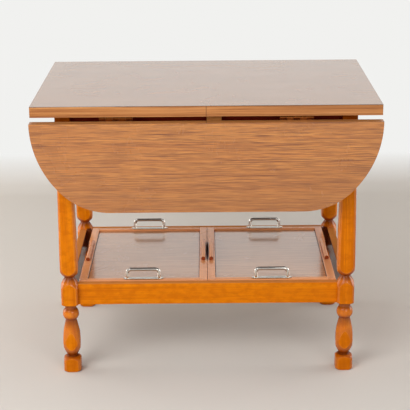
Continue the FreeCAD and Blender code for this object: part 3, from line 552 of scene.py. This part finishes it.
def metal(name, bright, dull, tarnish, smooth, rough, ease):
    """Plated or plain metal with tarnish and rubbed edges."""
    material, tree, shader, place = new_finish(name, metallic=1.0)
    marks = effect(tree, handling, {"Vector": place["Object"], "Size": 70.0})
    eased = effect(tree, worn_edges, {"Vector": place["Object"], "Ease": ease, "Patches": 300.0})
    stain = times(tree, marks["Smear"], tarnish)
    colour = tint(tree, stain, bright, dull)
    colour = tint(tree, times(tree, eased["Wear"], 0.6), colour, bright)
    wire(tree, colour, shader["Base Color"])
    wire(tree, window(tree, marks["Smear"], 0.0, 1.0, smooth, rough), shader["Roughness"])
    wire(tree, bump(tree, marks["Dust"], 0.00001, eased["Normal"], 0.3), shader["Normal"])
    return material


# how close the streaks lie along X, Y and Z: few along the grain, many across it
GRAIN_X = (2.4, 95.0, 95.0)
GRAIN_Y = (95.0, 2.4, 95.0)
GRAIN_Z = (80.0, 80.0, 2.6)
PRINTED_FLAT = (1.6, 110.0, 110.0)
PRINTED_LEAF = (2.5, 140.0, 140.0)
maroon, dark_maroon = rgb(144, 42, 14), rgb(108, 26, 9)
# tray rails: light and dark teak, and a paler tone for their painted edge highlight
tray_teak, dark_tray_teak, tray_teak_edge_highlight = rgb(246, 174, 118), rgb(218, 140, 90), rgb(250, 206, 160)

finishes = {
    "top_laminate": laminate(
        "top_laminate_teak", rgb(200, 146, 96), rgb(178, 120, 70), rgb(130, 78, 40), UP, PRINTED_FLAT,
        coat_roughness=0.09, coat_ior=1.5, specular_ior_level=0.5),
    "leaf_laminate": laminate(
        "leaf_laminate_teak", rgb(211, 140, 64), rgb(188, 113, 44), rgb(104, 48, 12), TO_REAR,
        PRINTED_LEAF, shade_to_free_edge=True, coat_roughness=0.11, coat_ior=1.5, specular_ior_level=0.5),
    "tray_laminate": laminate(
        "tray_laminate_teak", rgb(212, 162, 120), rgb(196, 142, 98), rgb(154, 102, 64), UP, PRINTED_FLAT,
        shaded_corners=True, coat_roughness=0.13, coat_ior=1.95, specular_ior_level=0.3),
    "edging": teak_edging("edging_teak_flat", (1.8, 1.8, 160.0)),
    "leaf_edging": teak_edging("edging_teak_upright", (1.8, 160.0, 1.8)),
    "board": chip_board("board_chips"),
    "legs": honey_varnish("legs_honey_varnish", GRAIN_Z, turned=True),
    "rails_along": honey_varnish("rails_honey_varnish_along", GRAIN_X),
    "rails_across": honey_varnish("rails_honey_varnish_across", GRAIN_Y),
    "aprons_along": stained_wood(
        "aprons_maroon_along", maroon, dark_maroon, GRAIN_X, roughness=0.4, coat=0.1),
    "aprons_across": stained_wood(
        "aprons_maroon_across", maroon, dark_maroon, GRAIN_Y, roughness=0.4, coat=0.1),
    "tray_rails_across": stained_wood(
        "tray_rails_teak_side", tray_teak, dark_tray_teak, GRAIN_Y, roughness=0.3, coat=0.7,
        worn=tray_teak_edge_highlight, grip_shaded=True),
    "tray_rails_along": stained_wood(
        "tray_rails_teak_end", tray_teak, dark_tray_teak, GRAIN_X, roughness=0.3, coat=0.35,
        worn=tray_teak_edge_highlight),
    "grips": stained_wood(
        "grips_teak", rgb(246, 170, 112), rgb(214, 132, 80), GRAIN_Y, roughness=0.26, coat=0.3,
        end_grain=rgb(142, 62, 28)),
    "lopers": stained_wood(
        "lopers_beech", rgb(226, 150, 84), rgb(186, 112, 58), GRAIN_Y, roughness=0.5, coat=0.0),
    "peg": stained_wood(
        "peg_beech", rgb(206, 172, 130), rgb(170, 130, 90), GRAIN_Z, roughness=0.5, coat=0.0),
    "hidden_wood": stained_wood(
        "hidden_pine", rgb(188, 146, 100), rgb(140, 98, 60), GRAIN_X, roughness=0.55, coat=0.0),
    "hinges": metal(
        "hinges_brass", rgb(144, 80, 34), rgb(100, 52, 24), tarnish=0.8, smooth=0.28, rough=0.45,
        ease=0.0003),
    "screws": metal(
        "screws_steel", rgb(168, 166, 160), rgb(84, 80, 74), tarnish=0.6, smooth=0.28, rough=0.5,
        ease=0.0002),
    "chrome": metal(
        "chrome_plate", rgb(218, 214, 206), rgb(180, 174, 162), tarnish=0.5, smooth=0.05, rough=0.14,
        ease=0.0003),
}

FINISH_OF_NODE = {
    "shelf_rail_front": "rails_along", "shelf_rail_rear": "rails_along",
    "shelf_rail_left": "rails_across", "shelf_rail_right": "rails_across",
    "apron_front": "aprons_along", "apron_rear": "aprons_along",
    # the tray bearer takes the dark maroon so that it reads near-black through the gap between the
    # trays: painted shade
    "apron_left": "aprons_across", "apron_right": "aprons_across", "tray_bearer": "aprons_across",
}


def finish_for(name, slot):
    """Which finish a node takes: its slot's, turned the way that its grain runs."""
    if name in FINISH_OF_NODE:
        return finishes[FINISH_OF_NODE[name]]
    if slot == "edging":
        return finishes["edging" if name.startswith("top_") else "leaf_edging"]
    if slot == "tray_rails":
        return finishes["tray_rails_across" if "side" in name else "tray_rails_along"]
    return finishes[slot]


for name, node in nodes.items():
    slot = node.material_slots[0].material.name.split(".")[0]
    node.material_slots[0].material = finish_for(name, slot)


# ---------------------------------------------------------------- new pieces

def arc_points(start, end, radius, step):
    """Points after start up to end on a round that bulges to the right of the way travelled."""
    first, last = Vector(start), Vector(end)
    chord = last - first
    left = Vector((-chord.y, chord.x)).normalized()
    centre = (first + last) / 2 + left * math.sqrt(max(radius ** 2 - chord.length_squared / 4, 0.0))
    begin = math.atan2(first.y - centre.y, first.x - centre.x)
    sweep = (math.atan2(last.y - centre.y, last.x - centre.x) - begin) % (2 * math.pi)
    count = max(2, math.ceil(sweep * radius / step))
    turns = [begin + sweep * index / count for index in range(1, count + 1)]
    return [(centre.x + radius * math.cos(turn), centre.y + radius * math.sin(turn)) for turn in turns]


def outline_points(path, step):
    """An outline of straights and rounds as close points."""
    points = [path[0][:2]]
    for corner in path[1:]:
        start, end = points[-1], corner[:2]
        if len(corner) > 2:
            points += arc_points(start, end, corner[2], step)
        else:
            length = math.dist(start, end)
            count = max(1, math.ceil(length / (4 * step)))
            points += [tuple(a + (b - a) * index / count for a, b in zip(start, end))
                       for index in range(1, count + 1)]
    return points


def width_at(table, height):
    """Half width of the square stock at a height."""
    for (low, low_width), (high, high_width) in zip(table, table[1:]):
        if height <= high:
            return low_width + (high_width - low_width) * (height - low) / (high - low)
    return table[-1][1]


def leg_ring(radius, half_width, height, centre):
    """One level of a leg, turned and planed to four flats: its points, and how planed each one is."""
    narrowest, widest = (math.radians(angle) for angle in FLAT_ANGLES)
    flat = min(max(math.acos(min(half_width / radius, 1.0)), narrowest), widest)
    turns = []
    for quarter in range(4):
        middle = quarter * math.pi / 2
        turns += [middle + flat * step for step in FLAT_STEPS]
        turns += [middle + flat + (math.pi / 2 - 2 * flat) * index / CORNER_STEPS
                  for index in range(CORNER_STEPS)]
    ring = []
    planed = []
    for turn in turns:
        across, deep = abs(math.cos(turn)), abs(math.sin(turn))
        limits = (1 / radius, across / half_width, deep / half_width)
        reach = sum(limit ** ARRIS_CRISPNESS for limit in limits) ** (-1 / ARRIS_CRISPNESS)
        ring.append(Vector(((centre[0] + reach * math.cos(turn)) * MM,
                            (centre[1] + reach * math.sin(turn)) * MM, height * MM)))
        planed.append(min(max((radius * max(across, deep) - half_width) / PLANED_DEPTH, 0.0), 1.0))
    return ring, planed


def skin(name, rings, material, soft_angle):
    """A closed skin over a stack of rings."""
    mesh = bmesh.new()
    rows = [[mesh.verts.new(point) for point in ring] for ring in rings]
    for lower, upper in zip(rows, rows[1:]):
        for index in range(len(lower)):
            after = (index + 1) % len(lower)
            mesh.faces.new((lower[index], lower[after], upper[after], upper[index]))
    mesh.faces.new(rows[0][::-1])
    mesh.faces.new(rows[-1])
    bmesh.ops.recalc_face_normals(mesh, faces=mesh.faces)
    for face in mesh.faces:
        face.smooth = True
    for edge in mesh.edges:
        if len(edge.link_faces) == 2 and edge.calc_face_angle(0.0) > soft_angle:
            edge.smooth = False
    data = bpy.data.meshes.new(name)
    mesh.to_mesh(data)
    mesh.free()
    data.materials.append(material)
    piece = bpy.data.objects.new(name, data)
    bpy.context.scene.collection.objects.link(piece)
    return piece


turning = outline_points(LEG_TURNING, TURNING_STEP)
for side_x, word_x in ((-1, "left"), (1, "right")):
    for side_y, word_y in ((-1, "front"), (1, "rear")):
        centre = (side_x * leg_centre.x, side_y * leg_centre.y)
        levels = [leg_ring(radius, width_at(LEG_FLATS, height), height, centre)
                  for radius, height in turning]
        leg = skin("turned_leg_%s_%s" % (word_y, word_x), [ring for ring, planed in levels],
                   finishes["legs"], soft_angle=math.radians(35))
        leg.data.attributes.new("planed", "FLOAT", "POINT").data.foreach_set(
            "value", [amount for ring, planed in levels for amount in planed])
        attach(leg, "frame")
        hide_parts("leg_%s_%s" % (word_y, word_x))


def grip_rings(centre_x):
    """A round bar along Y with eased ends."""
    low, high = grip_low.y, grip_high.y
    eased = [math.pi / 2 * (1 - index / GRIP_EASE_STEPS) for index in range(GRIP_EASE_STEPS + 1)]
    levels = [(low + GRIP_EASE * (1 - math.sin(turn)), GRIP_RADIUS - GRIP_EASE * (1 - math.cos(turn)))
              for turn in eased]
    levels += [(low + high - place, radius) for place, radius in reversed(levels)]
    round_about = [2 * math.pi * index / GRIP_SIDES for index in range(GRIP_SIDES)]
    return [[Vector((centre_x + radius * math.cos(turn), place,
                     grip_height + radius * math.sin(turn))) * MM for turn in round_about]
            for place, radius in levels]


def joined(name, pieces):
    """Several pieces as one mesh object."""
    mesh = bmesh.new()
    for piece in pieces:
        mesh.from_mesh(piece.data)
    data = pieces[0].data.copy()
    data.name = name
    mesh.to_mesh(data)
    mesh.free()
    for piece in pieces:
        bpy.data.objects.remove(piece)
    result = bpy.data.objects.new(name, data)
    bpy.context.scene.collection.objects.link(result)
    return result


# ---------------------------------------------------------------- bow handles

def build_bow_tree():
    """Bends a rod round its corners, and sets a bow at each end of the tray."""
    tree = bpy.data.node_groups.new("bow handles", "GeometryNodeTree")
    tree.interface.new_socket("Geometry", in_out="OUTPUT", socket_type="NodeSocketGeometry")
    tree.interface.new_socket("Geometry", in_out="INPUT", socket_type="NodeSocketGeometry")
    for title, value in (("Bend", BOW_BEND * MM), ("Rod radius", BOW_ROD * MM), ("Row", BOW_ROW * MM)):
        socket = tree.interface.new_socket(title, in_out="INPUT", socket_type="NodeSocketFloat")
        socket.default_value = value
    tree.interface.new_socket("Finish", in_out="INPUT", socket_type="NodeSocketMaterial")
    given = tree.nodes.new("NodeGroupInput").outputs
    bent = put(tree, "GeometryNodeFilletCurve", {"Curve": given["Geometry"], "Radius": given["Bend"],
                                                 "Count": BOW_BEND_STEPS}, mode="POLY")
    circle = put(tree, "GeometryNodeCurvePrimitiveCircle",
                 {"Resolution": BOW_SIDES, "Radius": given["Rod radius"]})
    rod = put(tree, "GeometryNodeCurveToMesh",
              {"Curve": bent.outputs[0], "Profile Curve": circle.outputs[0], "Fill Caps": True})
    smooth = put(tree, "GeometryNodeSetShadeSmooth", {"Geometry": rod.outputs[0]})
    half = times(tree, given["Row"], -0.5)
    start = put(tree, "ShaderNodeCombineXYZ", {"Y": half})
    step = put(tree, "ShaderNodeCombineXYZ", {"Y": given["Row"]})
    places = put(tree, "GeometryNodeMeshLine", {"Count": 2, "Start Location": start.outputs[0],
                                                "Offset": step.outputs[0]})
    bows = put(tree, "GeometryNodeInstanceOnPoints", {"Points": places.outputs[0],
                                                      "Instance": smooth.outputs[0]})
    real = put(tree, "GeometryNodeRealizeInstances", {"Geometry": bows.outputs[0]})
    painted = put(tree, "GeometryNodeSetMaterial",
                  {"Geometry": real.outputs[0], "Material": given["Finish"]})
    end = tree.nodes.new("NodeGroupOutput")
    wire(tree, painted.outputs[0], end.inputs["Geometry"])
    return tree


def bow_path(name, centre_x):
    """The rod's line before it is bent: up, along and down."""
    curve = bpy.data.curves.new(name, "CURVE")
    curve.dimensions = "3D"
    line = curve.splines.new("POLY")
    corners = ((-bow_half, BOW_FOOT), (-bow_half, bow_top), (bow_half, bow_top), (bow_half, BOW_FOOT))
    line.points.add(len(corners) - 1)
    for point, (across, up) in zip(line.points, corners):
        point.co = ((centre_x + across) * MM, 0.0, up * MM, 1.0)
    path = bpy.data.objects.new(name, curve)
    bpy.context.scene.collection.objects.link(path)
    return path


def made_plain(source, name, tree, values):
    """Runs a geometry tree on an object and keeps the result as a plain mesh."""
    modifier = source.modifiers.new("shape", "NODES")
    modifier.node_group = tree
    for item in tree.interface.items_tree:
        if item.in_out == "INPUT" and item.name in values:
            modifier[item.identifier] = values[item.name]
    bpy.context.view_layer.update()
    shaped = source.evaluated_get(bpy.context.evaluated_depsgraph_get())
    data = bpy.data.meshes.new_from_object(shaped)
    data.name = name
    source.modifiers.remove(modifier)
    bpy.data.objects.remove(source)
    piece = bpy.data.objects.new(name, data)
    bpy.context.scene.collection.objects.link(piece)
    return piece


bow_tree = build_bow_tree()
for side, word in ((-1, "left"), (1, "right")):
    body = word + "_tray"
    bows = made_plain(bow_path(word + "_bow_path", side * bow_centre), word + "_tray_bows", bow_tree,
                      {"Finish": finishes["chrome"]})
    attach(bows, body)
    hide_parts(word + "_tray_handles")
    bars = [skin("grip_bar", grip_rings(side * centre), finishes["grips"], soft_angle=math.radians(40))
            for centre in grip_centres]
    grips = joined(word + "_tray_grip_bars", bars)
    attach(grips, body)
    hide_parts(word + "_tray_grips")


# ---------------------------------------------------------------- eased edges on the plates

SAME_POINT = 0.02
PLATE_EASE = 0.6
PLATE_EASE_STEPS = 2
SHARP_ANGLE = math.radians(40)


def ease_edges(node, width, steps):
    """Joins a node's loose triangles as it is drawn, and rounds its sharp edges."""
    weld = node.modifiers.new("join", "WELD")
    weld.merge_threshold = SAME_POINT * MM
    bevel = node.modifiers.new("ease", "BEVEL")
    bevel.width = width * MM
    bevel.segments = steps
    bevel.limit_method = "ANGLE"
    bevel.angle_limit = SHARP_ANGLE


for word in ("left", "right"):
    ease_edges(nodes[word + "_tray_handle_plates"], PLATE_EASE, PLATE_EASE_STEPS)


# ---------------------------------------------------------------- floor, backdrop, lights and camera

FLOOR_FRONT = -4.5
FLOOR_LEVEL = -0.0005
WALL_BEHIND = 1.35
WALL_TOP = 4.0
SWEEP = 0.12
SWEEP_STEPS = 12
BACKDROP_HALF = 5.0
# height, and distance from the trolley, over which the floor's paper turns into plain light
PAPER_HEIGHT = (0.02, 0.12)
PAPER_REACH = (1.6, 3.4)
paper_white = rgb(241, 241, 239)
floor_paper = rgb(214, 208, 200)

# the room's own light: where it comes from, its strength below and overhead, and on shiny metal
ROOM_LIGHT_FROM = (0.0, 0.35, 0.94)
ROOM_STRENGTH = (0.05, 0.55)
MIRRORED_ROOM = 0.5
room_light = rgb(236, 238, 242)

CAMERA_PLACE = (-0.0020, -3.0564, 1.3165)
# degrees that the camera looks to the left, looks down and leans
CAMERA_ASIDE = 0.05
CAMERA_DOWN = 17.52
CAMERA_LEAN = -0.48
# in mm
CAMERA_LENS = 111.2
CAMERA_SENSOR = 36.0


def studio_paper():
    """Matt paper that turns into plain light far up and far out, and can't be seen from its back."""
    material = bpy.data.materials.new("studio_paper")
    material.use_nodes = True
    tree = material.node_tree
    tree.nodes.clear()
    place = put(tree, "ShaderNodeTexCoord").outputs["Object"]
    height = axes_of(tree, place)["Z"]
    away = vector_of(tree, "LENGTH", place, output="Value")
    rays = put(tree, "ShaderNodeLightPath").outputs
    seen = number(tree, "ADD", rays["Is Camera Ray"], rays["Is Glossy Ray"], clamp=True)
    seen = number(tree, "ADD", seen, rays["Is Transmission Ray"], clamp=True)
    fade = number(tree, "MAXIMUM", window(tree, height, *PAPER_HEIGHT), window(tree, away, *PAPER_REACH))
    paper = put(tree, "ShaderNodeBsdfDiffuse", {"Color": floor_paper})
    glow = put(tree, "ShaderNodeEmission", {"Color": paper_white, "Strength": 1.0})
    front = put(tree, "ShaderNodeMixShader",
                {0: times(tree, seen, fade), 1: paper.outputs[0], 2: glow.outputs[0]})
    back = put(tree, "ShaderNodeNewGeometry").outputs["Backfacing"]
    clear = put(tree, "ShaderNodeBsdfTransparent")
    mixed = put(tree, "ShaderNodeMixShader", {0: back, 1: front.outputs[0], 2: clear.outputs[0]})
    out = put(tree, "ShaderNodeOutputMaterial")
    wire(tree, mixed.outputs[0], out.inputs["Surface"])
    return material


def backdrop():
    """Floor that curves up into a wall behind the trolley."""
    turns = [index * math.pi / 2 / SWEEP_STEPS for index in range(SWEEP_STEPS + 1)]
    line = [(FLOOR_FRONT, FLOOR_LEVEL)]
    line += [(WALL_BEHIND - SWEEP + SWEEP * math.sin(turn), FLOOR_LEVEL + SWEEP - SWEEP * math.cos(turn))
             for turn in turns]
    line += [(WALL_BEHIND, WALL_TOP)]
    mesh = bmesh.new()
    rows = [[mesh.verts.new((side * BACKDROP_HALF, y, z)) for side in (-1, 1)] for y, z in line]
    for lower, upper in zip(rows, rows[1:]):
        face = mesh.faces.new((lower[0], lower[1], upper[1], upper[0]))
        face.smooth = True
    data = bpy.data.meshes.new("studio_backdrop")
    mesh.to_mesh(data)
    mesh.free()
    data.materials.append(studio_paper())
    piece = bpy.data.objects.new("studio_backdrop", data)
    bpy.context.scene.collection.objects.link(piece)


def soft_box(name, place, target, width, height, power, mirrored=True):
    """A soft lamp aimed at a point; mirrored says whether shiny pieces show it."""
    light = bpy.data.lights.new(name, "AREA")
    light.shape = "RECTANGLE"
    light.size = width
    light.size_y = height
    light.energy = power
    lamp = bpy.data.objects.new(name, light)
    bpy.context.scene.collection.objects.link(lamp)
    lamp.location = place
    lamp.visible_glossy = mirrored
    lamp.rotation_euler = (Vector(target) - Vector(place)).to_track_quat("-Z", "Y").to_euler()


def studio_world():
    """Pale room light from above and behind, white where the camera sees it."""
    world = bpy.data.worlds.new("studio_world")
    bpy.context.scene.world = world
    world.use_nodes = True
    tree = world.node_tree
    tree.nodes.clear()
    rays = put(tree, "ShaderNodeLightPath").outputs
    seen = number(tree, "ADD", rays["Is Camera Ray"], rays["Is Transmission Ray"], clamp=True)
    towards = put(tree, "ShaderNodeTexCoord").outputs["Generated"]
    high = dot(tree, towards, ROOM_LIGHT_FROM)
    soft = window(tree, high, -0.1, 0.85, *ROOM_STRENGTH)
    mirrored = times(tree, rays["Is Glossy Ray"], MIRRORED_ROOM)
    room = put(tree, "ShaderNodeBackground",
               {"Color": room_light, "Strength": number(tree, "MAXIMUM", soft, mirrored)})
    white = put(tree, "ShaderNodeBackground", {"Color": paper_white, "Strength": 1.0})
    mixed = put(tree, "ShaderNodeMixShader", {0: seen, 1: room.outputs[0], 2: white.outputs[0]})
    out = put(tree, "ShaderNodeOutputWorld")
    wire(tree, mixed.outputs[0], out.inputs["Surface"])


backdrop()
studio_world()
soft_box("key_light", place=(-1.9, -2.7, 1.9), target=(0.0, 0.0, 0.4), width=2.6, height=2.0,
         power=79.0, mirrored=False)
soft_box("glint_light", place=(-1.5, -2.4, 2.4), target=(0.0, 0.0, 0.4), width=1.0, height=0.8,
         power=14.0)
soft_box("fill_light", place=(1.2, -3.0, 1.6), target=(0.0, 0.0, 0.3), width=1.6, height=1.4,
         power=26.0)
for side, word in ((-1, "left"), (1, "right")):
    soft_box(word + "_light", place=(side * 2.6, 0.5, 0.9), target=(0.0, 0.0, 0.25), width=1.6,
             height=1.0, power=26.0)

lens = bpy.data.cameras.new("camera")
lens.sensor_fit = "HORIZONTAL"
lens.sensor_width = CAMERA_SENSOR
lens.lens = CAMERA_LENS
camera = bpy.data.objects.new("camera", lens)
bpy.context.scene.collection.objects.link(camera)
camera.matrix_world = (Matrix.Translation(CAMERA_PLACE)
                       @ Matrix.Rotation(math.radians(CAMERA_ASIDE), 4, "Z")
                       @ Matrix.Rotation(math.radians(90 - CAMERA_DOWN), 4, "X")
                       @ Matrix.Rotation(math.radians(CAMERA_LEAN), 4, "Z"))
bpy.context.scene.camera = camera
bpy.context.scene.view_settings.view_transform = "Standard"
